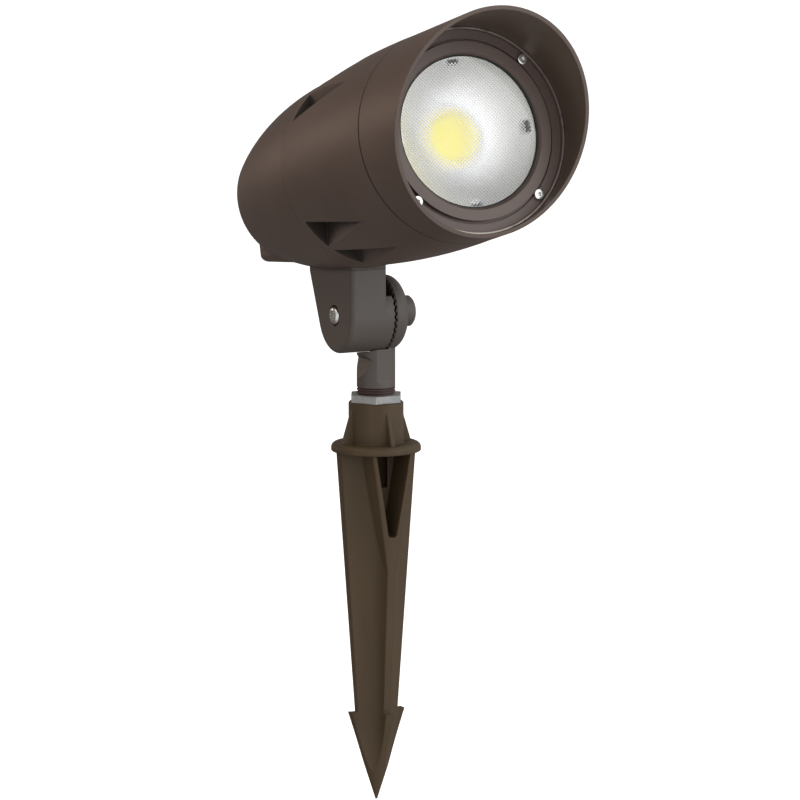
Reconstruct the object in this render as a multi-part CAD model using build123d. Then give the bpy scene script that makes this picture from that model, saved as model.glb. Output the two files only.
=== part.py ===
from build123d import *
import math
import os

# Flagpole flood light: bullet head on a toothed knuckle, screwed into a ground stake.
# Millimetres. +Z is up, the light faces -Y. The origin is on the stake axis at the flange's underside.

# Cutting shapes run past the faces they open by this much
cut_over = 1.0

# Ground stake
flange_radius = 26.2
flange_thickness = 5.0
flange_edge_radius = 3.0
flange_foot_radius = 0.8
hub_radius = 16.0
hub_height = 24.0
hub_edge_chamfer = 0.8
thread_depth = 19.0
thread_end_gap = 1.0
wire_bore_radius = 6.5
wire_bore_low = -22.0
gusset_thickness = 3.0
gusset_height = 19.0
gusset_foot_radius = 22.0
rib_radius_top = 24.6
rib_radius_low = 13.2
rib_length = 153.9
rib_land_top = 6.0
rib_land_low = 4.0
flute_end_radius = 1.0
barb_radius = 17.5
point_length = 53.1
point_end_radius = 0.6
pocket_outer_half_width = 13.0
pocket_outer_foot = 4.8
pocket_outer_length = 70.0
pocket_half_width = 11.0
pocket_foot = 5.0
pocket_corner = 2.0
pocket_length = 48.5
pocket_back = 3.0
pocket_roof = 0.8

# Stem and lower knuckle half
stub_radius = 10.5
thread_clearance = 0.05
stub_show = 8.5
stem_radius = 11.2
tilt_height = 80.5
seam_x = 1.75
seam_gap = 0.3
tooth_count = 36
tooth_height = 1.0
tooth_fill = 0.94
tooth_inner_radius = 12.0
tooth_rim_step = 0.3
tooth_run_out = 2.0
arm_round_radius = 22.0
disc_radius = 22.0
disc_thickness = 9.1
disc_edge_radius = 6.2
arm_sweep_gap = 0.5
relief_slope = 8.0
boss_radius = 9.0
boss_length = 10.0
boss_chamfer = 1.0
spigot_radius = 10.8
spigot_length = 3.0
flat_depth = 1.0
flat_low = 2.5
flat_run_out = 2.0
flat_turns = [0, 180]
side_flat_depth = 4.2
side_flat_low = 6.0
side_flat_shoulder = 4.0

# Lock nut
nut_flats = 28.6
nut_thickness = 4.3
nut_turn = 2.0

# Knuckle bolt and washer
bolt_radius = 3.0
bolt_fit = 0.05
bolt_clearance = 0.3
bolt_head_radius = 5.25
bolt_head_height = 3.0
bolt_dome = 0.7
bolt_socket_flats = 4.0
bolt_socket_depth = 1.8
bolt_reach = 16.5
washer_thickness = 1.0
bolt_recess_radius = 6.1
bolt_recess_depth = 2.5

# Upper knuckle half
arm_centre_x = -16.0
arm_thickness = 22.0
arm_rear_y = 33.5
arm_corner_radius = 2.6
ledge_rise = 11.8
pad_height = 106.6
pad_slope = 6.0
pad_depth = 12.0
nipple_radius = 8.0
nipple_bore_radius = 5.0
nipple_length = 20.0
nipple_y = 4.0
nipple_bore_depth = 14.0
arm_gasket_radius = 10.0
arm_gasket_depth = 1.2
arm_nut_flats = 22.0
arm_nut_thickness = 5.0
pad_wall = 7.0
nut_pocket_radius = 14.0
nut_pocket_depth = 24.0
seal_inner_radius = 7.4
seal_thickness = 1.0
seal_recess_gap = 0.3

# Bullet housing, along the head axis: zero at the front of the lens lip, minus to the rear
head_pitch = 15.0
lens_centre_y = -143.0
pad_drop = 2.61
shell_radius = 60.4
seam_position = -16.6
crease_drop = 5.0
crease_position = -125.5
body_bulge = 1.8
tail_drop = 18.2
tail_bulge = 3.8
nose_roundness = 3.8
rear_end = -247.8
rim_position = -6.0
rim_gap = 0.3
plate_position = -29.0
shelf_width = 7.4
shelf_thickness = 8.0
chamber_wall = 5.4
chamber_end = -55.0
vent_wall = 5.5
vent_floor_wall = 3.9
tail_wall = 7.4
vent_rear = -118.0
vent_front = -52.0
vent_depth = 10.0
vent_half_angle = 45.0
vent_spread = [25.0, 49.0, 131.0, 155.0]
rear_boss_half_width = 18.0
rear_boss_end = -241.0
rear_boss_length = 51.0
rear_boss_inset = 2.6
rear_boss_slope = 9.5
rear_boss_corner = 4.0

# Hood
hood_wall = 2.2
hood_centre_reach = 27.2
hood_slant = 0.382
hood_seam_gap = 0.9
hood_lip_width = 2.0
hood_lip_thickness = 2.0

# Bezel, its screws, lens and gasket
bezel_bead_width = 1.1
bezel_bead_front = 2.5
bezel_flange_width = 6.6
bezel_face = -0.5
bezel_groove_width = 1.6
bezel_groove_floor = -1.8
bezel_lip_width = 7.2
bezel_lip_front = 1.5
bezel_lip_bevel = 1.2
bezel_screw_inset = 3.1
bezel_screw_angles = [45.0, 135.0, 225.0, 315.0]
bezel_screw_length = 13.0
screw_head_radius = 3.0
screw_head_height = 2.2
screw_dome = 0.6
screw_radius = 1.5
screw_fit = 0.05
screw_clearance = 0.3
lens_overlap = 4.0
lens_thickness = 3.5
lens_front = -1.0
lens_side_gap = 0.3
gasket_inset = 0.8
optic_bore_step = 0.4

# Light source, reflector, heat plate and driver
plate_thickness = 5.0
plate_side_gap = 0.3
plate_screw_inset = 3.8
plate_screw_angles = [90.0, 210.0, 330.0]
plate_screw_length = 12.0
cob_disc_radius = 15.0
cob_disc_thickness = 0.6
cob_side = 32.0
cob_board_thickness = 1.0
cob_side_gap = 0.4
holder_window_gap = 0.5
holder_rim = 12.5
holder_thickness = 3.0
holder_screw_inset = 3.0
holder_screw_angles = [0.0, 180.0]
holder_screw_radius = 1.2
holder_screw_head_radius = 2.0
holder_screw_head_height = 1.2
holder_screw_length = 6.0
reflector_throat_gap = 1.5
reflector_mouth_step = 1.6
reflector_wall = 1.2
reflector_mouth_gap = 0.6
reflector_power = 2.5
reflector_steps = 4
reflector_notch_width = 7.0
reflector_notch_depth = 3.4
reflector_notch_angles = [3.0, 93.0, 183.0, 273.0]
driver_width = 46.0
driver_depth = 30.0
driver_length = 70.0
driver_corner = 3.0

# Derived heights of the stake and stem
hub_top = flange_thickness + hub_height
stem_bottom = hub_top + stub_show
stub_bottom = hub_top - thread_depth + thread_end_gap
thread_radius = stub_radius + thread_clearance
tip_z = -rib_length - point_length
disc_face = seam_x + seam_gap / 2 + tooth_height
hub_face = seam_x - seam_gap / 2 - tooth_height
boss_start = disc_face + disc_thickness
boss_end = boss_start + boss_length
arm_left = arm_centre_x - arm_thickness / 2
arm_right = arm_centre_x + arm_thickness / 2
bolt_seat = arm_left + bolt_recess_depth
spigot_face = disc_face - spigot_length
recess_face = spigot_face - seal_thickness

# Radii of the head, all counted inwards from the shell
crease_radius = shell_radius - crease_drop
tail_radius = crease_radius - tail_drop
nose_radius = tail_radius + nose_roundness
hood_inner = shell_radius - hood_wall
rim_radius = hood_inner - rim_gap
bezel_bead_radius = rim_radius - bezel_bead_width
bezel_lip_radius = bezel_bead_radius - bezel_flange_width
bezel_opening = bezel_lip_radius - bezel_lip_width
bezel_screw_circle = bezel_bead_radius - bezel_screw_inset
lens_radius = bezel_opening + lens_overlap
optic_bore_radius = bezel_opening + optic_bore_step
plate_screw_circle = optic_bore_radius - plate_screw_inset
shelf_bore_radius = optic_bore_radius - shelf_width
driver_bore_radius = crease_radius - vent_depth - vent_floor_wall
holder_window_radius = cob_disc_radius + holder_window_gap
holder_radius = holder_window_radius + holder_rim
holder_screw_circle = holder_radius - holder_screw_inset
reflector_throat = holder_window_radius + reflector_throat_gap
reflector_mouth = bezel_opening - reflector_mouth_step

# The head lies on the arm: its crease ring's lowest point is a little above the arm's pad plane.
pitch = math.radians(head_pitch)
pad_tangent = math.tan(math.radians(pad_slope))
crease_low_y = lens_centre_y - crease_position * math.cos(pitch) - crease_radius * math.sin(pitch)
crease_low_z = pad_height - pad_tangent * crease_low_y + pad_drop
lens_centre_z = crease_low_z + crease_radius * math.cos(pitch) - crease_position * math.sin(pitch)

# The tilt axis runs along X, and the head's own axis lies in the arm's middle plane.
tilt_axis = Plane(origin=(0, 0, tilt_height), x_dir=(0, 1, 0), z_dir=(1, 0, 0))
head_frame = Plane(
    origin=(arm_centre_x, lens_centre_y, lens_centre_z),
    x_dir=(1, 0, 0),
    z_dir=(0, -math.cos(pitch), math.sin(pitch)),
)
pad_frame = Plane(
    origin=(arm_centre_x, nipple_y, pad_height - pad_tangent * nipple_y),
    x_dir=(1, 0, 0),
    z_dir=(0, pad_tangent, 1),
)


def rod(radius, low, high):
    """Cylinder on the local Z axis between two heights."""
    return Pos(0, 0, (low + high) / 2) * Cylinder(radius, high - low)


def ring(inner, outer, low, high):
    """Flat ring on the local Z axis between two heights."""
    return rod(outer, low, high) - rod(inner, low - cut_over, high + cut_over)


def turned(points):
    """Solid of revolution about the local Z axis from (radius, height) points."""
    outline = Polyline(*[(radius, height) for radius, height in points], close=True)
    return revolve(Plane.XZ * make_face(outline), Axis.Z)


def side_plate(points, low, high):
    """Plate with an outline of (Y, Z) points, between two X positions."""
    outline = Plane.YZ.offset(low) * make_face(Polyline(*points, close=True))
    return extrude(outline, high - low)


def hexagon(flats, thickness, turn):
    """Hexagonal prism standing on the local XY plane."""
    outline = RegularPolygon(flats / 2, 6, major_radius=False, rotation=turn)
    return extrude(outline, thickness)


def screw(head_radius, head_height, shank_radius, length):
    """Pan-head screw with its seat on the local XY plane and its shank pointing down."""
    head = rod(head_radius, 0, head_height)
    head = fillet(head.edges().sort_by(Axis.Z)[-1], head_height * screw_dome)
    return head + rod(shank_radius, -length, 0)


def around(circle, angle, height):
    """Place on a bolt circle of the head, the angle counted from the head's right."""
    return Rot(0, 0, angle) * Pos(circle, 0, height)


def teeth(outer, angles):
    """Ring of radial teeth rising along local +Z from the XY plane, narrowing to the centre."""
    half_pitch = math.radians(180 / tooth_count) * tooth_fill
    sections = []
    for radius in (outer + tooth_run_out, tooth_inner_radius):
        plane = Plane(origin=(radius, 0, 0), x_dir=(0, 1, 0), z_dir=(1, 0, 0))
        wide = radius * math.tan(half_pitch)
        rise = tooth_height * radius / disc_radius
        corners = [(-wide, 0), (0, rise), (wide, 0), (wide, -rise / 2), (-wide, -rise / 2)]
        sections.append(plane * make_face(Polyline(*corners, close=True)))
    one_tooth = loft(sections, ruled=True) & rod(outer, -tooth_height, 2 * tooth_height)
    return [Rot(0, 0, angle) * one_tooth for angle in angles]


# Ground stake: fluted cone, barbed point, flange, hub and gussets
def flute_section(rib_radius, land, height):
    """Circle that leaves a rib land of the given width, with the rib's flanks parallel where they meet it."""
    half_angle = math.pi / 4 - math.asin(land / 2 / rib_radius)
    span = rib_radius * math.sin(half_angle)
    return math.sqrt(2) * span, rib_radius * math.cos(half_angle) + span, height


def flute_cut():
    """Long hollow between two ribs, carried on to the tip."""
    top = flute_section(rib_radius_top, rib_land_top, 0)
    low = flute_section(rib_radius_low, rib_land_low, -rib_length)
    ratio = tip_z / -rib_length
    end = [start + (finish - start) * ratio for start, finish in zip(top, low)]
    end[0] = max(end[0], flute_end_radius)
    faces = [Pos(away, 0, height) * Circle(radius) for radius, away, height in (top, end)]
    return loft(faces, ruled=True)


def wedge(half_width, foot, length, back):
    """Upright V-shaped block in front of the stake's axis."""
    corners = [(-half_width, 0), (half_width, 0), (foot / 2, -length), (-foot / 2, -length)]
    outline = Plane.XZ.offset(back) * make_face(Polyline(*corners, close=True))
    return extrude(outline, flange_radius)


rib_cone = turned([(0, 0), (rib_radius_top, 0), (rib_radius_low, -rib_length), (0, -rib_length)])
point = turned([(0, -rib_length), (barb_radius, -rib_length), (point_end_radius, tip_z), (0, tip_z)])
stake = rib_cone + point
for quarter in range(4):
    stake -= Rot(0, 0, 45 + 90 * quarter) * flute_cut()
stake += wedge(pocket_outer_half_width, pocket_outer_foot, pocket_outer_length, 0) & rib_cone
pocket = wedge(pocket_half_width, pocket_foot, pocket_length, pocket_back)
stake -= fillet(pocket.edges().filter_by(Axis.Y).group_by(Axis.Z)[0], pocket_corner)

flange = rod(flange_radius, 0, flange_thickness)
flange = fillet(flange.edges().group_by(Axis.Z)[-1], flange_edge_radius)
flange = fillet(flange.edges().group_by(Axis.Z)[0], flange_foot_radius)
hub = rod(hub_radius, 0, hub_top)
hub = chamfer(hub.edges().sort_by(Axis.Z)[-1], hub_edge_chamfer)
stake += flange + hub
pocket_room = Pos(0, -pocket_back - rib_radius_top / 2, 0) * Box(
    2 * pocket_half_width, rib_radius_top, 2 * pocket_roof)
stake -= pocket_room & rod(rib_radius_top, 0, pocket_roof)
gusset_top = flange_thickness + gusset_height
gusset_root = hub_radius - gusset_thickness
gusset_low = flange_thickness / 2
gusset_corners = [(gusset_root, gusset_low), (gusset_foot_radius, gusset_low),
                  (gusset_foot_radius, flange_thickness), (hub_radius, gusset_top), (gusset_root, gusset_top)]
gusset = side_plate(gusset_corners, -gusset_thickness / 2, gusset_thickness / 2)
for quarter in range(4):
    stake += Rot(0, 0, 90 * quarter) * gusset
stake -= rod(thread_radius, hub_top - thread_depth, hub_top + cut_over)
stake -= rod(wire_bore_radius, wire_bore_low, hub_top)

# Lower knuckle half: threaded stub, stem, toothed disc and round boss, cut clear of the swinging arm
base = rod(stub_radius, stub_bottom, stem_bottom) + rod(stem_radius, stem_bottom, tilt_height)
swing = tilt_axis * rod(arm_round_radius + arm_sweep_gap, 2 * arm_left, disc_face)
base -= swing
relief_top = tilt_height - arm_round_radius - arm_sweep_gap
relief_reach = 2 * stem_radius
relief_end = relief_top - relief_reach * math.tan(math.radians(relief_slope))
relief_corners = [(0, relief_top), (relief_reach, relief_end), (relief_reach, tilt_height), (0, tilt_height)]
base -= side_plate(relief_corners, 2 * arm_left, disc_face)
flat_bottom = stem_bottom + flat_low
flat_outer = -stem_radius - cut_over
flat_corners = [(-stem_radius, flat_bottom), (flat_depth - stem_radius, flat_bottom + flat_run_out),
                (flat_depth - stem_radius, tilt_height), (flat_outer, tilt_height), (flat_outer, flat_bottom)]
flat_cut = side_plate(flat_corners, -stem_radius, stem_radius)
for turn in flat_turns:
    base -= Rot(0, 0, turn) * flat_cut
side_flat_bottom = stem_bottom + side_flat_low
side_flat_top = relief_top - side_flat_shoulder
side_flat_corners = [(-stem_radius, side_flat_bottom), (side_flat_depth - stem_radius, side_flat_top),
                     (-stem_radius, relief_top), (flat_outer, relief_top), (flat_outer, side_flat_bottom)]
base -= Rot(0, 0, -90) * side_plate(side_flat_corners, -stem_radius, stem_radius)
disc = rod(disc_radius, disc_face, boss_start)
disc = fillet(disc.edges().sort_by(Axis.Z)[-1], disc_edge_radius)
boss = rod(boss_radius, spigot_face, boss_end)
boss = chamfer(boss.edges().sort_by(Axis.Z)[-1], boss_chamfer)
base += tilt_axis * (disc + boss + rod(spigot_radius, spigot_face, boss_start))
pitch_step = 360 / tooth_count
disc_plane = Plane(origin=(disc_face, 0, tilt_height), x_dir=(0, 1, 0), z_dir=(-1, 0, 0))
disc_teeth = teeth(disc_radius - tooth_rim_step, [pitch_step * index for index in range(tooth_count)])
base += [disc_plane * tooth for tooth in disc_teeth]
base -= tilt_axis * rod(bolt_radius + bolt_fit, spigot_face - cut_over, bolt_reach + cut_over)

# Lock nut on the stub, seated on the hub
locknut = hexagon(nut_flats, nut_thickness, nut_turn)
locknut = Pos(0, 0, hub_top) * (locknut - rod(thread_radius, -cut_over, nut_thickness + cut_over))

# Knuckle bolt with a socket in its domed head, and the washer under it
bolt_head = rod(bolt_head_radius, 0, bolt_head_height)
bolt_head = fillet(bolt_head.edges().sort_by(Axis.Z)[-1], bolt_head_height * bolt_dome)
socket = Pos(0, 0, bolt_head_height - bolt_socket_depth) * hexagon(bolt_socket_flats, bolt_head_height, 0)
bolt_face = Plane(origin=(bolt_seat - washer_thickness, 0, tilt_height), x_dir=(0, 1, 0), z_dir=(-1, 0, 0))
bolt_length = bolt_reach - bolt_seat + washer_thickness
knuckle_bolt = bolt_face * (bolt_head - socket + rod(bolt_radius, -bolt_length, 0))
bolt_washer = bolt_face * ring(bolt_radius + bolt_fit, bolt_head_radius, -washer_thickness, 0)


# Upper knuckle half: slanted arm with a round toothed end and a hollow nipple into the housing
def pad_z(y):
    """Height of the pad plane under the housing."""
    return pad_height - pad_tangent * y


rear_rise = pad_z(arm_rear_y) - tilt_height
rear_distance = math.hypot(arm_rear_y, rear_rise)
tangent_angle = math.atan2(rear_rise, arm_rear_y) - math.acos(arm_round_radius / rear_distance)
tangent_rise = arm_round_radius * math.sin(tangent_angle)
tangent_point = (arm_round_radius * math.cos(tangent_angle), tilt_height + tangent_rise)
front_top = (-arm_round_radius, pad_z(-arm_round_radius))
rear_top = (arm_rear_y, pad_z(arm_rear_y))
round_bottom = (0, tilt_height - arm_round_radius)
arm_outline = [
    Line((-arm_round_radius, tilt_height), front_top),
    Line(front_top, rear_top),
    Line(rear_top, tangent_point),
    ThreePointArc(tangent_point, round_bottom, (-arm_round_radius, tilt_height)),
]
arm = extrude(Plane.YZ.offset(arm_left) * make_face(arm_outline), arm_thickness)
left_edges = arm.faces().sort_by(Axis.X)[0].edges()
upper_edge = left_edges.sort_by(Axis.Z)[-1]
arm = fillet([edge for edge in left_edges if edge != upper_edge], arm_corner_radius)
ledge = tilt_height + ledge_rise
ledge_corners = [(-disc_radius, 0), (disc_radius, 0), (disc_radius, ledge), (-disc_radius, ledge)]
ledge_block = side_plate(ledge_corners, arm_left, disc_face)
arm += (tilt_axis * rod(arm_round_radius, arm_right - cut_over, hub_face)) & ledge_block
hub_plane = Plane(origin=(hub_face, 0, tilt_height), x_dir=(0, 1, 0), z_dir=(1, 0, 0))
ledge_angle = math.degrees(math.asin(ledge_rise / arm_round_radius)) - pitch_step / 2
half_step_angles = [pitch_step * index + pitch_step / 2 for index in range(tooth_count)]
ledge_sine = math.sin(math.radians(ledge_angle))
hub_angles = [angle for angle in half_step_angles if math.sin(math.radians(angle)) < ledge_sine]
arm += [hub_plane * tooth for tooth in teeth(arm_round_radius - tooth_rim_step, hub_angles)]
arm -= tilt_axis * rod(spigot_radius + seal_recess_gap, recess_face, disc_face)
arm -= tilt_axis * rod(bolt_radius + bolt_clearance, 2 * arm_left, disc_face)
arm -= tilt_axis * rod(bolt_recess_radius, 2 * arm_left, bolt_seat)
arm += pad_frame * rod(nipple_radius, -cut_over, nipple_length)
arm -= pad_frame * rod(nipple_bore_radius, -nipple_bore_depth, nipple_length + cut_over)
arm -= pad_frame * ring(nipple_radius, arm_gasket_radius, -arm_gasket_depth, 0)
arm_gasket = pad_frame * ring(nipple_radius, arm_gasket_radius, -arm_gasket_depth, 0)
arm_nut = pad_frame * (Pos(0, 0, pad_wall) * hexagon(arm_nut_flats, arm_nut_thickness, 0))
arm_nut -= pad_frame * rod(nipple_radius + thread_clearance, 0, nipple_length)
knuckle_seal = tilt_axis * ring(seal_inner_radius, spigot_radius, recess_face, spigot_face)

# Bullet housing: turned outline, rear boss and arm pad, then the bores and the scooped vents
nose_centre = rear_end + nose_radius
tail_position = nose_centre - math.sqrt(nose_radius ** 2 - tail_radius ** 2)
nose_half_angle = math.asin(tail_radius / nose_radius) / 2
nose_middle_radius = nose_radius * math.sin(nose_half_angle)
nose_middle = nose_centre - nose_radius * math.cos(nose_half_angle)
body_middle = ((shell_radius + crease_radius) / 2 + body_bulge, (seam_position + crease_position) / 2)
tail_middle = ((crease_radius + tail_radius) / 2 + tail_bulge, (crease_position + tail_position) / 2)
housing_outline = [
    Line((0, rear_end), (0, rim_position)),
    Line((0, rim_position), (rim_radius, rim_position)),
    Line((rim_radius, rim_position), (rim_radius, seam_position)),
    Line((rim_radius, seam_position), (shell_radius, seam_position)),
    ThreePointArc((shell_radius, seam_position), body_middle, (crease_radius, crease_position)),
    ThreePointArc((crease_radius, crease_position), tail_middle, (tail_radius, tail_position)),
    ThreePointArc((tail_radius, tail_position), (nose_middle_radius, nose_middle), (0, rear_end)),
]
housing = revolve(Plane.XZ * make_face(housing_outline), Axis.Z)

boss_rise = rear_boss_length * math.tan(math.radians(rear_boss_slope))
rear_boss_front = rear_boss_end + rear_boss_length
rear_boss_drop = tail_radius - rear_boss_inset
rear_boss_corners = [(0, rear_boss_end), (-rear_boss_drop, rear_boss_end),
                     (-rear_boss_drop - boss_rise, rear_boss_front), (0, rear_boss_front)]
rear_boss = side_plate(rear_boss_corners, -rear_boss_half_width, rear_boss_half_width)
rear_boss_edges = rear_boss.faces().sort_by(Axis.Z)[0].edges().group_by(Axis.Y)[0]
rear_boss_edges += rear_boss.faces().sort_by(Axis.Y)[0].edges().filter_by(Axis.X, reverse=True)
rear_boss = fillet(rear_boss_edges, rear_boss_corner)
housing += rear_boss


def vent_section(floor, position):
    """V-shaped section of a scoop, its floor at a radius and its sides carried out past the shell."""
    rise = 2 * vent_depth
    half_width = rise * math.tan(math.radians(vent_half_angle))
    corners = [(0, floor), (half_width, floor + rise), (-half_width, floor + rise)]
    return Plane.XY.offset(position) * make_face(Polyline(*corners, close=True))


vent_floor = crease_radius - vent_depth
vent_cut = loft([vent_section(vent_floor, vent_rear), vent_section(shell_radius, vent_front)], ruled=True)
for spread in vent_spread:
    for side in (-1, 1):
        housing -= Rot(0, 0, side * spread) * vent_cut

housing = head_frame * housing
pad_line = [front_top, rear_top]
pad_above = [(y, z + pad_depth) for y, z in reversed(pad_line)]
pad_below = [(y, z - pad_depth) for y, z in reversed(pad_line)]
pad = side_plate(pad_line + pad_above, arm_left, arm_right)
pad = fillet(pad.faces().sort_by(Axis.X)[0].edges().filter_by(Axis.Z), arm_corner_radius)
housing += pad
housing -= side_plate(pad_line + pad_below, arm_left, arm_right)

shelf_back = plate_position - shelf_thickness
tail_front = crease_position - vent_wall
chamber_radius = shell_radius - chamber_wall
cavity = turned([
    (0, 0), (optic_bore_radius, 0), (optic_bore_radius, plate_position), (shelf_bore_radius, plate_position),
    (shelf_bore_radius, shelf_back), (chamber_radius, shelf_back), (chamber_radius, chamber_end),
    (driver_bore_radius, chamber_end), (driver_bore_radius, tail_front),
    (crease_radius - tail_wall, tail_front), (tail_middle[0] - tail_wall, tail_middle[1]),
    (tail_radius - tail_wall, tail_position), (0, tail_position),
])
screw_hole = rod(screw_radius + screw_fit, -bezel_screw_length, 0)
for angle in bezel_screw_angles:
    cavity += around(bezel_screw_circle, angle, bezel_face) * screw_hole
plate_hole = rod(screw_radius + screw_fit, -plate_screw_length, 0)
plate_front = plate_position + plate_thickness
for angle in plate_screw_angles:
    cavity += around(plate_screw_circle, angle, plate_front) * plate_hole
housing -= head_frame * cavity
housing -= pad_frame * rod(nipple_radius + screw_clearance, -cut_over, pad_wall + cut_over)
housing -= pad_frame * rod(nut_pocket_radius, pad_wall, pad_wall + nut_pocket_depth)

# Hood: slant-cut tube with an inner lip that the bezel clamps
hood_rear = seam_position + hood_seam_gap
hood_top = hood_centre_reach + hood_slant * shell_radius
hood = ring(hood_inner, shell_radius, hood_rear, hood_top + cut_over)
lip_front = rim_position + hood_lip_thickness
hood += ring(rim_radius - hood_lip_width, hood_inner + hood_wall / 2, rim_position, lip_front)
reach = 2 * shell_radius
slant_drop = hood_slant * reach
slant_corners = [(-reach, hood_centre_reach - slant_drop), (reach, hood_centre_reach + slant_drop),
                 (-reach, 2 * reach)]
hood -= side_plate(slant_corners, -reach, reach)
hood = head_frame * hood

# Bezel with a raised lens lip, a groove and an outer bead
lens_back = lens_front - lens_thickness
lens_pocket = lens_radius + lens_side_gap
groove_outer = bezel_lip_radius + bezel_groove_width
bezel = turned([
    (bezel_opening, lens_front), (bezel_opening, 0), (bezel_opening + bezel_lip_bevel, bezel_lip_front),
    (bezel_lip_radius, bezel_lip_front), (bezel_lip_radius, bezel_groove_floor),
    (groove_outer, bezel_groove_floor), (groove_outer, bezel_face), (bezel_bead_radius, bezel_face),
    (bezel_bead_radius, bezel_bead_front), (rim_radius, bezel_bead_front), (rim_radius, lip_front),
    (lens_pocket, lip_front), (lens_pocket, lens_front),
])
bezel_hole = rod(screw_radius + screw_clearance, rim_position, bezel_bead_front)
for angle in bezel_screw_angles:
    bezel -= around(bezel_screw_circle, angle, 0) * bezel_hole
bezel = head_frame * bezel
bezel_screw = screw(screw_head_radius, screw_head_height, screw_radius, bezel_screw_length)
lens = head_frame * rod(lens_radius, lens_back, lens_front)
lens_gasket = head_frame * ring(bezel_opening + gasket_inset, lens_radius, rim_position, lens_back)

# Heat plate with its screws, light source, holder and reflector
plate = rod(optic_bore_radius - plate_side_gap, plate_position, plate_front)
plate_way = rod(screw_radius + screw_clearance, -plate_screw_length, 0)
for angle in plate_screw_angles:
    plate -= around(plate_screw_circle, angle, plate_front) * plate_way
holder_hole = rod(holder_screw_radius + screw_fit, -holder_screw_length, 0)
holder_front = plate_front + holder_thickness
holder = rod(holder_radius, plate_front, holder_front) - rod(holder_window_radius, plate_front, holder_front)
cob_front = plate_front + cob_board_thickness
cob_pocket = cob_side + 2 * cob_side_gap
holder -= Pos(0, 0, plate_front) * Box(cob_pocket, cob_pocket, 2 * (cob_board_thickness + cob_side_gap))
for angle in holder_screw_angles:
    plate -= around(holder_screw_circle, angle, holder_front) * holder_hole
    holder -= around(holder_screw_circle, angle, holder_front) * holder_hole
cob_board = Pos(0, 0, (plate_front + cob_front) / 2) * Box(cob_side, cob_side, cob_board_thickness)
cob = cob_board + rod(cob_disc_radius, cob_front, cob_front + cob_disc_thickness)


def bowl_height(radius):
    """Position along the head axis where the bowl has an inner radius, on a curve steepest at the mouth."""
    low = reflector_throat ** reflector_power
    share = (radius ** reflector_power - low) / (reflector_mouth ** reflector_power - low)
    return holder_front + share * (bowl_front - holder_front)


bowl_front = rim_position - reflector_mouth_gap
bowl_step = (reflector_mouth - reflector_throat) / reflector_steps
bowl_radii = [reflector_throat + bowl_step * index for index in range(reflector_steps + 1)]
inner_points = [(radius, bowl_height(radius)) for radius in bowl_radii]
outer_points = [(radius + reflector_wall, height) for radius, height in inner_points]
reflector_outline = [
    Spline(*inner_points),
    Line(inner_points[-1], outer_points[-1]),
    Spline(*outer_points),
    Line(outer_points[0], inner_points[0]),
]
reflector = revolve(Plane.XZ * make_face(reflector_outline), Axis.Z)
notch = Pos(reflector_mouth, 0, bowl_front) * Box(
    reflector_notch_width, reflector_notch_width, 2 * reflector_notch_depth)
for angle in reflector_notch_angles:
    reflector -= Rot(0, 0, angle) * notch

# Driver behind the heat plate
driver = Pos(0, 0, plate_position - driver_length / 2) * Box(driver_width, driver_depth, driver_length)
driver = fillet(driver.edges().filter_by(Axis.Z), driver_corner)

nodes = {
    "ground_stake": stake,
    "knuckle_base": base,
    "locknut": locknut,
    "knuckle_bolt": knuckle_bolt,
    "bolt_washer": bolt_washer,
    "knuckle_arm": arm,
    "knuckle_seal": knuckle_seal,
    "arm_gasket": arm_gasket,
    "arm_nut": arm_nut,
    "rear_housing": housing,
    "hood": hood,
    "bezel_ring": bezel,
    "lens": lens,
    "lens_gasket": lens_gasket,
    "reflector": head_frame * reflector,
    "led_cob": head_frame * cob,
    "led_holder": head_frame * holder,
    "heat_plate": head_frame * plate,
    "driver": head_frame * driver,
}
for index, angle in enumerate(bezel_screw_angles):
    placed = around(bezel_screw_circle, angle, bezel_face) * bezel_screw
    nodes[f"bezel_screw_{index + 1}"] = head_frame * placed
plate_screw = screw(screw_head_radius, screw_head_height, screw_radius, plate_screw_length)
for index, angle in enumerate(plate_screw_angles):
    placed = around(plate_screw_circle, angle, plate_front) * plate_screw
    nodes[f"plate_screw_{index + 1}"] = head_frame * placed
holder_screw = screw(
    holder_screw_head_radius, holder_screw_head_height, holder_screw_radius, holder_screw_length)
for index, angle in enumerate(holder_screw_angles):
    placed = around(holder_screw_circle, angle, holder_front) * holder_screw
    nodes[f"holder_screw_{index + 1}"] = head_frame * placed

os.makedirs("parts", exist_ok=True)
for name, solid in nodes.items():
    export_step(solid, f"parts/{name}.step")
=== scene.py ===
import math

import bpy
import numpy as np
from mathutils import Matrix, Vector


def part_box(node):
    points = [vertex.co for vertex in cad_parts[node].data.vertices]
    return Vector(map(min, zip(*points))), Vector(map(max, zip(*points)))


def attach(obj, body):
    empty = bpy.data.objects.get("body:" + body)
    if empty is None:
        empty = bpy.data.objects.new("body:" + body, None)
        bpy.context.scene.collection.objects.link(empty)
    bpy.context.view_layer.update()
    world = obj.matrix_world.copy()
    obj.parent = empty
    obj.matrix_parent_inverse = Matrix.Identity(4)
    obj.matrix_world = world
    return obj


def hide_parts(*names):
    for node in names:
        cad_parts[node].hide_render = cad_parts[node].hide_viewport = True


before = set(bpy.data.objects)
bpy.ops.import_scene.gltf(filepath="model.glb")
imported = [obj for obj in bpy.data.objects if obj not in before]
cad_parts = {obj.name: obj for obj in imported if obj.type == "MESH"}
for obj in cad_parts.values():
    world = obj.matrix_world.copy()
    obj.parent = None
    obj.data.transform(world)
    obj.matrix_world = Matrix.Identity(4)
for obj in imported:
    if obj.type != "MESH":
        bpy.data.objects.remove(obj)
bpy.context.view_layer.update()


# Ground stake: a single moulding in brown plastic with four flutes, a barbed point and a V-shaped wire
# pocket. Its hub is threaded for the stem. The finish has faint streaks of the melt and a fine grain.
mm = 0.001


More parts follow.
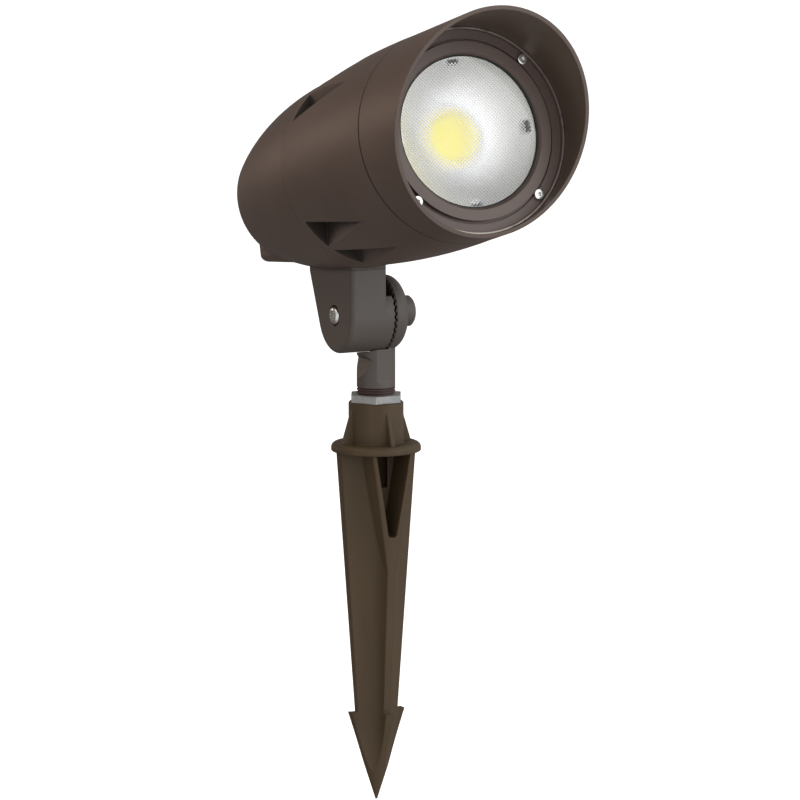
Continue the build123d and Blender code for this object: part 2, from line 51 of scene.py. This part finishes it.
class Shade:
    """One output of a material's nodes. Arithmetic on it adds Math nodes, and node() adds any other node."""

    def __init__(self, tree, output):
        self.tree = tree
        self.output = output

    def node(self, kind, settings=(), values=(), output=0):
        """Adds a node: its settings come first, then each input gets its value or its link."""
        made = self.tree.nodes.new(kind)
        for name, value in dict(settings).items():
            setattr(made, name, value)
        self.fill(made, values)
        return Shade(self.tree, made.outputs[output])

    def fill(self, made, values):
        """Gives the inputs of a node their values or links."""
        for name, value in dict(values).items():
            if isinstance(value, Shade):
                self.tree.links.new(value.output, made.inputs[name])
            else:
                made.inputs[name].default_value = value

    def math(self, operation, *values):
        """A Math node on these values."""
        return self.node("ShaderNodeMath", {"operation": operation}, enumerate(values))

    def vector(self, operation, other, output=0):
        """A Vector Math node on this and another vector."""
        return self.node("ShaderNodeVectorMath", {"operation": operation}, {0: self, 1: other}, output)

    def __add__(self, other):
        return self.math("ADD", self, other)

    def __sub__(self, other):
        return self.math("SUBTRACT", self, other)

    def __rsub__(self, other):
        return self.math("SUBTRACT", other, self)

    def __mul__(self, other):
        return self.math("MULTIPLY", self, other)

    def __lt__(self, other):
        return self.math("LESS_THAN", self, other)

    def __abs__(self):
        return self.math("ABSOLUTE", self)

    __radd__ = __add__
    __rmul__ = __mul__

    def sine(self):
        """The sine of this angle."""
        return self.math("SINE", self)

    def or_more(self, other):
        """The larger of this and another value."""
        return self.math("MAXIMUM", self, other)

    def along(self, axis):
        """How far this arrow reaches along an axis."""
        return self.vector("DOT_PRODUCT", axis, "Value")

    def off_line(self, axis):
        """How far the tip of this arrow lies from the line along an axis."""
        across = self.vector("CROSS_PRODUCT", axis)
        return across.node("ShaderNodeVectorMath", {"operation": "LENGTH"}, {0: across}, "Value")

    def ramp(self, low, high):
        """0 below low, 1 above high, and a smooth step between them."""
        limits = {"Value": self, "From Min": low, "From Max": high}
        return self.node("ShaderNodeMapRange", {"interpolation_type": "SMOOTHSTEP"}, limits)

    def noise(self, scale, detail=2.0, stretch=(1, 1, 1)):
        """Cloudy noise over these coordinates, with this many cells to the metre, stretched by axis."""
        spread = self.node("ShaderNodeMapping", (), {"Vector": self, "Scale": stretch})
        return self.node("ShaderNodeTexNoise", (), {"Vector": spread, "Scale": scale, "Detail": detail})

    def tint(self, dark, light):
        """The colour between dark, where this is 0, and light, where this is 1. Either may itself vary."""
        ends = [colour if isinstance(colour, Shade) else (*colour, 1) for colour in (dark, light)]
        return self.node("ShaderNodeMix", {"data_type": "RGBA"}, {0: self, 6: ends[0], 7: ends[1]}, 2)

    def bumps(self, height):
        """A normal with this one's values as bumps of that height."""
        return self.node("ShaderNodeBump", (), {"Height": self, "Distance": height})

    def relief(self, height, edge_radius):
        """A normal with edges eased by edge_radius and this one's values as bumps of that height."""
        eased = self.node("ShaderNodeBevel", {"samples": 6}, {"Radius": edge_radius})
        return self.node("ShaderNodeBump", (), {"Height": self, "Distance": height, "Normal": eased})


def new_finish(name):
    """An empty finish: the material, its shader node, and the place on the piece in metres."""
    material = bpy.data.materials.new(name)
    material.use_nodes = True
    tree = material.node_tree
    place = Shade(tree, tree.nodes.new("ShaderNodeTexCoord").outputs["Object"])
    return material, tree.nodes["Principled BSDF"], place


def dress(material, *names):
    """Puts the material on these nodes of the frame."""
    for name in names:
        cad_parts[name].material_slots[0].material = material


melt_dark = (0.055, 0.037, 0.020)
melt_light = (0.070, 0.047, 0.026)
stake_plastic, shader, place = new_finish("stake_plastic")
streaks = place.noise(60, 3, stretch=(1, 1, 0.12))
grain = place.noise(2600, 1)
place.fill(shader, {
    "Base Color": streaks.ramp(0.3, 0.75).tint(melt_dark, melt_light),
    "Roughness": 0.40 + 0.14 * streaks,
    "Specular IOR Level": 0.16,
    "Normal": (0.7 * grain + 0.3 * streaks).relief(height=0.05 * mm, edge_radius=1.6 * mm),
})
dress(stake_plastic, "ground_stake")


# Stem and lower knuckle half: an aluminium die casting with a toothed disc, powder-coated dark bronze.
# Its stub is threaded for the stake's hub, and the turns that show above the lock nut are coated too.
def skin(name, grid, finish, ring_closed=False):
    """A piece over grid[ring, turn]: quads between neighbours, wrapped round each ring. The first and last
    ring are joined, or else each is closed by a fan to its own middle."""
    rings, turns = grid.shape[:2]
    index = np.arange(rings * turns).reshape(rings, turns)
    rows = np.vstack([index, index[:1]]) if ring_closed else index
    beside = np.roll(rows, -1, axis=1)
    quads = np.stack([rows[:-1], beside[:-1], beside[1:], rows[1:]], axis=-1).reshape(-1, 4).tolist()
    points = grid.reshape(-1, 3)
    fans = []
    if not ring_closed:
        points = np.vstack([points, grid[0].mean(axis=0), grid[-1].mean(axis=0)])
        first = np.full(turns, rings * turns)
        fans += np.stack([first, beside[0], rows[0]], axis=-1).tolist()
        fans += np.stack([first + 1, rows[-1], beside[-1]], axis=-1).tolist()
    mesh = bpy.data.meshes.new(name)
    mesh.from_pydata(points.tolist(), [], quads + fans)
    mesh.shade_smooth()
    sharp_edge = math.radians(35)
    mesh.set_sharp_from_angle(angle=sharp_edge)
    mesh.materials.append(finish)
    piece = bpy.data.objects.new(name, mesh)
    bpy.context.scene.collection.objects.link(piece)
    return piece


def round_steps(turns):
    """Angles of this many equal steps round a full turn."""
    return np.linspace(0, 2 * math.pi, turns, endpoint=False)


def thread_turns(root, crest, bore, pitch, low, high, rings=90, turns=120):
    """A sleeve whose outer radius climbs from root to crest and back once in each pitch, along a helix:
    r = root + (crest - root) * tooth((z - pitch * turn) / pitch). The tooth is flat on top, with straight
    flanks, and it sinks to the root at both ends of the sleeve."""
    crest_half = 0.15
    flank_end = 0.40
    run_out = 0.25 * pitch
    angle = round_steps(turns)[None, :]
    height = np.linspace(low, high, rings)[:, None]
    phase = (height / pitch - angle / (2 * math.pi)) % 1
    tooth = np.clip((flank_end - np.abs(phase - 0.5)) / (flank_end - crest_half), 0, 1)
    fade = np.clip(np.minimum(height - low, high - height) / run_out, 0, 1)
    outer = root + (crest - root) * tooth * fade
    inner = np.full((2, turns), bore)
    radius = np.vstack([outer, inner])
    level = np.vstack([height, [[high], [low]]]) * np.ones((1, turns))
    return np.stack([radius * np.cos(angle), radius * np.sin(angle), level], axis=-1)


def bronze_coat(name, dark, light, painted_shade=None):
    """Fine-textured satin powder coat: slow drift of tone, an orange-peel swell and a finer sandy grain.
    The last argument, where given, is a function of the place whose values darken the coat with painted
    shade."""
    material, shader, place = new_finish(name)
    drift = place.noise(14, 3)
    peel = place.noise(700, 2)
    grain = place.noise(2400, 1)
    coat = drift.ramp(0.3, 0.7).tint(dark, light)
    # Painted shade: where the mask given as the last argument is high, the coat turns towards this
    # near-black.
    painted_shade_tint = (0.012, 0.009, 0.008)
    place.fill(shader, {
        "Base Color": painted_shade(place).tint(coat, painted_shade_tint) if painted_shade else coat,
        "Roughness": 0.40 + 0.10 * drift + 0.08 * peel,
        "Specular IOR Level": 0.5,
        "Normal": (0.6 * peel + 0.4 * grain).relief(height=0.045 * mm, edge_radius=0.6 * mm),
    })
    return material


knuckle_bronze = bronze_coat("bronze_paint", (0.055, 0.043, 0.036), (0.066, 0.052, 0.044))
dress(knuckle_bronze, "knuckle_base")

nut_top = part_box("locknut")[1].z
stub_radius = 10.5 * mm
thread_grid = thread_turns(
    root=stub_radius + 0.04 * mm,
    crest=stub_radius + 0.75 * mm,
    bore=stub_radius - 0.6 * mm,
    pitch=1.81 * mm,
    low=nut_top + 0.1 * mm,
    high=nut_top + 4.15 * mm,
)
thread_paint = bronze_coat("thread_paint", (0.036, 0.016, 0.014), (0.048, 0.022, 0.019))
stub_thread = skin("stub_thread", thread_grid, thread_paint, ring_closed=True)
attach(stub_thread, "stem")


# Lock nut: a flat hexagon nut in zinc-plated steel, run down on to the stake's hub so that the stem stays
# put. The plating is dull grey with a slight blotch, and the corners are eased.
plating_dark = (0.22, 0.22, 0.22)
plating_light = (0.28, 0.28, 0.27)
zinc, shader, place = new_finish("zinc")
blotch = place.noise(260, 4)
scratch = place.noise(900, 2, stretch=(0.15, 0.15, 3))
place.fill(shader, {
    "Base Color": blotch.ramp(0.3, 0.7).tint(plating_dark, plating_light),
    "Roughness": 0.42 + 0.16 * blotch,
    "Metallic": 0.35,
    "Normal": (0.5 * blotch + 0.5 * scratch).relief(height=0.02 * mm, edge_radius=0.4 * mm),
})
dress(zinc, "locknut", "arm_nut")


# Knuckle arm: the upper half of the knuckle, cast in aluminium with its own ring of teeth, coated like the
# stem. A rubber ring seals the joint and a flat gasket the pad, and a nut inside draws the arm to the head.
dress(knuckle_bronze, "knuckle_arm")

rubber_dark = (0.012, 0.012, 0.012)
rubber_bloom = (0.026, 0.025, 0.024)
rubber, shader, place = new_finish("black_rubber")
bloom = place.noise(180, 4)
skin_grain = place.noise(1500, 2)
place.fill(shader, {
    "Base Color": bloom.ramp(0.35, 0.8).tint(rubber_dark, rubber_bloom),
    "Roughness": 0.62 + 0.2 * bloom,
    "Normal": skin_grain.relief(height=0.03 * mm, edge_radius=0.3 * mm),
})
dress(rubber, "knuckle_seal", "arm_gasket", "lens_gasket")


# Knuckle bolt: a stainless button-head cap screw with a hexagon socket, and a plain washer under its head.
# The dome is turned, so fine rings run round the bolt's axis, which lies along X at the tilt joint.
def stainless_steel(name, centre, axis):
    """Bright stainless steel with fine turning rings: noise over the distance from a line through centre."""
    material, shader, place = new_finish(name)
    distance = place.vector("SUBTRACT", centre).off_line(axis)
    rings = distance.node("ShaderNodeTexNoise", {"noise_dimensions": "1D"}, {"W": distance, "Scale": 5000.0})
    smear = place.noise(400, 3)
    place.fill(shader, {
        "Base Color": smear.ramp(0.3, 0.7).tint((0.58, 0.57, 0.55), (0.72, 0.71, 0.69)),
        "Roughness": 0.20 + 0.14 * smear,
        "Metallic": 1.0,
        "Normal": rings.relief(height=0.008 * mm, edge_radius=0.25 * mm),
    })
    return material


bolt_low, bolt_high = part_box("knuckle_bolt")
bolt_axis = (1, 0, 0)
bolt_steel = stainless_steel("stainless_bolt", (bolt_low + bolt_high) / 2, bolt_axis)
dress(bolt_steel, "knuckle_bolt", "bolt_washer")


# Bullet housing: a hollow aluminium die casting with a domed tail, V-shaped cooling grooves in front of its
# crease, a boss under the tail and a flat pad that the arm is drawn against. The die's parting line runs
# round the crease. The coat is bronze, with painted shade in its grooves, along the parting line and at the
# seam.
head_pitch = math.radians(15)
head_front = Vector((0, -math.cos(head_pitch), math.sin(head_pitch)))
head_up = Vector((0, math.sin(head_pitch), math.cos(head_pitch)))
head_across = Vector((1, 0, 0))
lens_low, lens_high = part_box("lens")
lens_middle = (lens_low + lens_high) / 2
parting_level = -122.75 * mm
parting_half_width = 0.4 * mm
groove_reach = 14 * mm
seam_rear = -13.85 * mm
seam_shade = 0.5 * mm
bronze_dark = (0.067, 0.043, 0.032)
bronze_light = (0.081, 0.053, 0.040)


def from_lens(place):
    """The arrow from the lens's middle to a place."""
    return place.vector("SUBTRACT", lens_middle)


def housing_painted_shade(place):
    """Painted shade: the coat is darkened along the parting line at the crease, down in the grooves, which
    see little of the sky, and at the seam.
    """
    level = from_lens(place).along(head_front)
    parting = 1 - abs(level - parting_level).ramp(0.4 * parting_half_width, parting_half_width)
    nearby = {"samples": 8, "only_local": True}
    openness = place.node("ShaderNodeAmbientOcclusion", nearby, {"Distance": groove_reach}, "AO")
    grooves = 1 - openness.ramp(0.55, 0.95)
    seam = level.ramp(seam_rear - seam_shade, seam_rear)
    return (0.6 * parting).or_more((0.85 * grooves).or_more(0.9 * seam))


housing_bronze = bronze_coat("housing_bronze", bronze_dark, bronze_light, housing_painted_shade)
dress(housing_bronze, "rear_housing")


# Light source: a round yellow phosphor under silicone on a square aluminium board, held down by a white ring
# on a machined heat plate, with steel screws. A potted driver in a black case lies behind the plate.
phosphor_radius = 15.0 * mm
phosphor_edge = 0.4 * mm
phosphor, shader, place = new_finish("phosphor")
off_disc = from_lens(place).off_line(head_front).ramp(phosphor_radius - phosphor_edge, phosphor_radius)
dots = place.node("ShaderNodeTexVoronoi", (), {"Vector": place, "Scale": 700.0})
yellow = dots.ramp(0.1, 0.6).tint((1.0, 0.86, 0.16), (1.0, 0.92, 0.30))
board = place.noise(300).tint((0.72, 0.72, 0.70), (0.82, 0.82, 0.80))
place.fill(shader, {
    "Base Color": off_disc.tint(yellow, board),
    "Roughness": 0.45 + 0.1 * dots,
    # Painted glow: the yellow disc gives off a faint light of its own, far weaker than a lit LED, which
    # brightens it.
    "Emission Color": off_disc.tint((1.0, 0.90, 0.22), (0.0, 0.0, 0.0)),
    "Emission Strength": 0.45,
    "Normal": dots.relief(height=0.03 * mm, edge_radius=0.1 * mm),
})
dress(phosphor, "led_cob")

white_plastic, shader, place = new_finish("white_plastic")
sheen = place.noise(120, 3)
place.fill(shader, {
    "Base Color": sheen.tint((0.76, 0.76, 0.74), (0.85, 0.85, 0.83)),
    "Roughness": 0.35 + 0.15 * sheen,
    "Normal": place.noise(1800).relief(height=0.02 * mm, edge_radius=0.3 * mm),
})
dress(white_plastic, "led_holder")

plain_aluminium, shader, place = new_finish("plain_aluminium")
cutter_marks = place.noise(1500, 2, stretch=(0.05, 1, 1))
place.fill(shader, {
    "Base Color": cutter_marks.tint((0.60, 0.60, 0.60), (0.74, 0.74, 0.74)),
    "Roughness": 0.28 + 0.15 * cutter_marks,
    "Metallic": 1.0,
    "Normal": cutter_marks.relief(height=0.01 * mm, edge_radius=0.3 * mm),
})
dress(plain_aluminium, "heat_plate")

black_plastic, shader, place = new_finish("black_plastic")
case_grain = place.noise(1600, 2)
place.fill(shader, {
    "Base Color": case_grain.tint((0.028, 0.028, 0.028), (0.045, 0.045, 0.044)),
    "Roughness": 0.45 + 0.12 * case_grain,
    "Normal": case_grain.relief(height=0.04 * mm, edge_radius=0.5 * mm),
})
dress(black_plastic, "driver")

head_steel = stainless_steel("stainless_head", lens_middle, head_front)
dress(head_steel, "plate_screw_1", "plate_screw_2", "plate_screw_3", "holder_screw_1", "holder_screw_2")


# Reflector: a pressed aluminium bowl, brightened and struck with rings of small domed facets that even the
# beam. Notches in its mouth let it slip past the shelf in the housing, and the lens holds it on the white
# ring. A bright collar is rolled round its mouth.
facets_round = 120
facet_pitch = 1.6 * mm
facet_height = 0.11 * mm
reflector_bright, shader, place = new_finish("reflector_bright")
across = from_lens(place).along(head_across)
rise = from_lens(place).along(head_up)
turn = place.math("ARCTAN2", rise, across)
reach = place.math("SQRT", across * across + rise * rise)
ribs = abs((turn * (facets_round / 2)).sine())
rings = abs((reach * (math.pi / facet_pitch)).sine())
haze = place.noise(90, 3)
place.fill(shader, {
    "Base Color": haze.tint((0.95, 0.95, 0.95), (0.99, 0.99, 0.98)),
    "Roughness": 0.30 + 0.08 * haze,
    "Metallic": 1.0,
    "Normal": (ribs * rings).bumps(facet_height),
})
dress(reflector_bright, "reflector")


def round_head(centre, reach, level, angle):
    """Points round the line through centre along the head's front, from arrays of reach and level:
    centre + reach * (cos(angle) * across + sin(angle) * up) + level * front."""
    turned = np.cos(angle)[:, None] * np.array(head_across) + np.sin(angle)[:, None] * np.array(head_up)
    return np.array(centre) + reach[..., None] * turned + level[..., None] * np.array(head_front)


def turned_ring(profile, turns=180):
    """A profile of (radius, level) points, carried once round the head's axis at the lens's middle."""
    reach, level = np.array(profile).T[:, :, None]
    return round_head(lens_middle, reach, level, round_steps(turns))


collar_profile = np.array([(41.9, -4.3), (43.1, -3.3), (43.1, -2.0), (42.9, -2.0), (41.3, -3.95)]) * mm
reflector_collar = skin("reflector_collar", turned_ring(collar_profile), reflector_bright, ring_closed=True)
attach(reflector_collar, "head")


# Lens: a disc of tempered glass, smooth in front, its back pressed with small pillows set diamond-wise that
# break the light source up into dots; the valleys between them are greyed with painted shade. It lies on a
# rubber gasket whose lip shows as a thin black line inside the bezel.
def pressed_disc(radius, thickness, bevel):
    """Profile of a disc as (radius, level) points, from the back's middle over both bevels to the front's."""
    back = [(share * (radius - bevel), -thickness / 2) for share in (0.02, 0.5, 1)]
    rim = [(radius, bevel - thickness / 2), (radius, thickness / 2 - bevel)]
    front = [(reach, -level) for reach, level in reversed(back)]
    return back + rim + front


lens_radius = (lens_high.x - lens_low.x) / 2
lens_thickness = 3.5 * mm
lens_bevel = 0.4 * mm
pillow_pitch = 1.5 * mm
pillow_height = 0.22 * mm
valley_shade_tint = (0.76, 0.75, 0.75)
lens_glass, shader, place = new_finish("lens_glass")
smudge = place.noise(70, 3)
across = from_lens(place).along(head_across)
rise = from_lens(place).along(head_up)
wave_number = math.pi / (pillow_pitch * math.sqrt(2))
domes = [abs((diagonal * wave_number).sine()) for diagonal in (across + rise, across - rise)]
pressed_side = from_lens(place).along(head_front) < 0
pillows = domes[0] * domes[1] * pressed_side
# Painted shade: the glass is tinted grey in the valleys between the pillows.
shaded_valleys = pressed_side - pressed_side * pillows.ramp(0.0, 0.45)
clear = smudge.tint((0.98, 0.98, 0.98), (1.0, 1.0, 1.0))
place.fill(shader, {
    "Base Color": shaded_valleys.tint(clear, valley_shade_tint),
    "Roughness": 0.02 + 0.03 * smudge,
    "IOR": 1.5,
    "Transmission Weight": 1.0,
    "Normal": pillows.bumps(pillow_height),
})
lens_profile = pressed_disc(lens_radius, lens_thickness, lens_bevel)
stippled_lens = skin("stippled_lens", turned_ring(lens_profile), lens_glass)
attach(stippled_lens, "head")
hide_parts("lens")

lip_profile = np.array([(42.95, 1.76), (42.95, 2.6), (42.5, 2.6), (42.0, 1.76)]) * mm
gasket_lip = skin("gasket_lip", turned_ring(lip_profile), rubber, ring_closed=True)
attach(gasket_lip, "head")


# Bezel: a cast ring with a thin bead, a flat screw flange, a groove and a broad lip over the lens, coated
# bronze. A narrow patchy band on the bead is given a light bare-metal colour, more metallic and smoother: a
# painted highlight.
bead_radius = 57.0 * mm
bead_highlight_metal = (0.30, 0.26, 0.23)
bezel_bronze, shader, place = new_finish("bezel_bronze")
distance = from_lens(place).off_line(head_front)
drift = place.noise(14, 3)
peel = place.noise(700, 2)
patchy = place.noise(120, 3).ramp(0.2, 0.5)
# Painted highlight: a narrow patchy band at the bead's radius turns light, more metallic and smoother.
bead_highlight = distance.ramp(bead_radius - 0.25 * mm, bead_radius + 0.15 * mm) * patchy
coat = drift.ramp(0.3, 0.7).tint((0.074, 0.048, 0.038), (0.090, 0.060, 0.049))
place.fill(shader, {
    "Base Color": bead_highlight.tint(coat, bead_highlight_metal),
    "Metallic": 0.7 * bead_highlight,
    "Roughness": 0.42 + 0.10 * drift + 0.06 * peel - 0.12 * bead_highlight,
    "Specular IOR Level": 0.6,
    "Normal": peel.relief(height=0.03 * mm, edge_radius=0.4 * mm),
})
dress(bezel_bronze, "bezel_ring")


# Bezel screws: four stainless screws with low domed heads and hexagon sockets, which clamp the ring and the
# lens to the housing. They are turned, so fine rings run round each head.
screw_head_radius = 3.0 * mm
screw_head_height = 2.2 * mm
screw_dome = 0.3 * mm
socket_flats = 2.0 * mm
socket_depth = 1.3 * mm
socket_chamfer = 0.1 * mm
shank_radius = 1.45 * mm
shank_length = 12.9 * mm
tip_length = 1 * mm
tip_chamfer = 0.5 * mm
bezel_face = lens_middle + head_front * 2.25 * mm


def socket_screw(seat, turns=48):
    """A turned profile from the socket's floor over the dome and down the shank. The first four rings are
    hexagons: r = flats / 2 / cos(angle from the nearest flat's middle), and the rest are circles."""
    angle = round_steps(turns)
    sixth = math.pi / 3
    from_flat = (angle + sixth / 2) % sixth - sixth / 2
    hexagon = socket_flats / 2 / np.cos(from_flat)
    hexagon_reach = np.array([0.5, 1, 1, 1.08])[:, None] * hexagon
    socket_floor = screw_head_height - socket_depth
    hexagon_level = [socket_floor, socket_floor, screw_head_height - socket_chamfer, screw_head_height]
    crown = np.linspace(0.15, 1, 7) * math.pi / 2
    dome_start = 0.62 * socket_flats
    dome_reach = dome_start + (screw_head_radius - dome_start) * np.sin(crown)
    dome_level = screw_head_height - screw_dome * (1 - np.cos(crown))
    shank_reach = [screw_head_radius, shank_radius, shank_radius, shank_radius - tip_chamfer]
    shank_level = [0, 0, tip_length - shank_length, -shank_length]
    circle_reach = np.concatenate([dome_reach, shank_reach])[:, None] * np.ones(turns)
    reach = np.vstack([hexagon_reach, circle_reach])
    level = np.concatenate([hexagon_level, dome_level, shank_level])[:, None]
    return round_head(seat, reach[::-1], level[::-1], angle)


for number in (1, 2, 3, 4):
    low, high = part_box(f"bezel_screw_{number}")
    offset = (low + high) / 2 - lens_middle
    seat = bezel_face + head_across * offset.dot(head_across) + head_up * offset.dot(head_up)
    screw_steel = stainless_steel(f"stainless_screw_{number}", seat, head_front)
    screw = skin(f"bezel_socket_screw_{number}", socket_screw(seat), screw_steel)
    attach(screw, "head")
    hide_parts(f"bezel_screw_{number}")


# Hood: a spun and slant-cut aluminium shroud pushed over the housing's rim as far as its seam, coated bronze.
# It keeps stray light and rain off the lens.
seam_front = -12.95 * mm


def hood_painted_shade(place):
    """Painted shade: the coat is darkened in a band along the edge that meets the housing."""
    return 0.9 - 0.9 * from_lens(place).along(head_front).ramp(seam_front, seam_front + seam_shade)


dress(bronze_coat("hood_bronze", bronze_dark, bronze_light, hood_painted_shade), "hood")


# Studio: a white floor under the stake's point, soft boxes, a sky that is pale in front and dim behind, and a
# long lens at the photo's angle. The floor only shows to the camera, so that the head's underside stays dark.
floor_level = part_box("ground_stake")[0].z - 0.3 * mm
floor_reach = 40.0
corner = np.array([(-1, -1), (1, -1), (1, 1), (-1, 1)]) * floor_reach
floor_mesh = bpy.data.meshes.new("floor")
floor_mesh.from_pydata(np.column_stack([corner, np.full(4, floor_level)]).tolist(), [], [(0, 1, 2, 3)])
floor = bpy.data.objects.new("floor", floor_mesh)
bpy.context.scene.collection.objects.link(floor)
floor.visible_diffuse = False
floor.visible_glossy = False
floor.visible_transmission = False
floor.visible_shadow = False
floor_paint, shader, place = new_finish("floor_paint")
place.fill(shader, {
    "Base Color": place.noise(3).tint((0.90, 0.90, 0.90), (0.93, 0.93, 0.93)),
    "Roughness": 0.9,
    "Emission Color": (1, 1, 1, 1),
    "Emission Strength": 0.45,
})
floor_mesh.materials.append(floor_paint)

sky_brightest = (0.15, -0.89, 0.43)
sky_dim = (0.16, 0.15, 0.145)
white = (1.0, 1.0, 1.0)
sky = bpy.data.worlds.new("sky")
sky.use_nodes = True
bpy.context.scene.world = sky
direction = Shade(sky.node_tree, sky.node_tree.nodes.new("ShaderNodeTexCoord").outputs["Generated"])
direction.fill(sky.node_tree.nodes["Background"], {
    "Color": direction.along(sky_brightest).ramp(-0.9, 0.9).tint(sky_dim, white),
    "Strength": 1.0,
})

aim = Vector((-0.01, -0.10, 0.12))
cool_white = (0.96, 1.0, 1.03)
warm_low = (1.0, 0.76, 0.60)
warm_high = (1.0, 0.78, 0.64)


def soft_box(name, toward, distance, width, height, power, tone):
    """A rectangular lamp at this distance from the aim point in the direction toward, turned to face it."""
    lamp = bpy.data.lights.new(name, "AREA")
    lamp.color = tone
    lamp.shape = "RECTANGLE"
    lamp.size = width
    lamp.size_y = height
    lamp.energy = power
    holder = bpy.data.objects.new(name, lamp)
    outward = Vector(toward).normalized()
    holder.location = aim + outward * distance
    holder.rotation_euler = outward.to_track_quat("Z", "Y").to_euler()
    bpy.context.scene.collection.objects.link(holder)


soft_box("key_box", (0.46, -0.82, 0.37), distance=2.4, width=3.8, height=3.2, power=40, tone=cool_white)
soft_box("back_box", (-0.42, 0.90, 0.10), distance=2.2, width=0.6, height=0.5, power=2.7, tone=warm_low)
soft_box("top_box", (-0.45, 0.10, 0.90), distance=2.2, width=1.5, height=1.5, power=16, tone=warm_high)
soft_box("low_box", (-0.90, -0.15, -0.40), distance=2.2, width=1.6, height=1.2, power=4, tone=white)

toward_camera = Vector((-0.4597, -0.8757, 0.1478))
camera = bpy.data.objects.new("camera", bpy.data.cameras.new("camera"))
camera.data.lens = 232.2
camera.data.sensor_width = 36.0
camera.data.clip_end = 200.0
camera.location = (-1.3649, -2.6300, 0.4722)
camera.rotation_euler = toward_camera.to_track_quat("Z", "Y").to_euler()
bpy.context.scene.collection.objects.link(camera)
bpy.context.scene.camera = camera
bpy.context.scene.view_settings.view_transform = "Standard"
